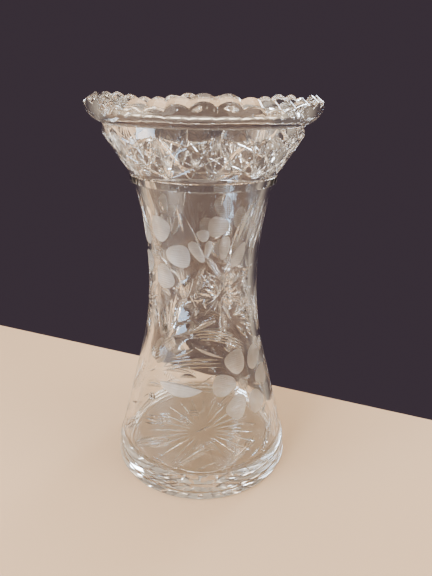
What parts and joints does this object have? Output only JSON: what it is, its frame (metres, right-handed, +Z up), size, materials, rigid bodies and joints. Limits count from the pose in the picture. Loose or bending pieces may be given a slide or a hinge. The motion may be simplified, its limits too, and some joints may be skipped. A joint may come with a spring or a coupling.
{
  "type": "cut crystal vase",
  "caption": "Waisted cut crystal vase with a turned-out scalloped rim, a sloping band of star cuts, a plain neck ring and a ray-cut foot.",
  "frame": {"origin": "centre of the resting face, on the vase's axis", "axes": "+Z up along the vase's axis; the front of the vase faces -Y"},
  "size_m": [0.1416, 0.1424, 0.254],
  "materials": {
    "crystal": "polished lead crystal with satin wheel-engraved flowers"
  },
  "bodies": {
    "root": {"foot": "crystal", "lower_body": "crystal", "waist": "crystal", "neck_ring": "crystal", "star_band": "crystal", "rim": "crystal"}
  },
  "joints": []
}
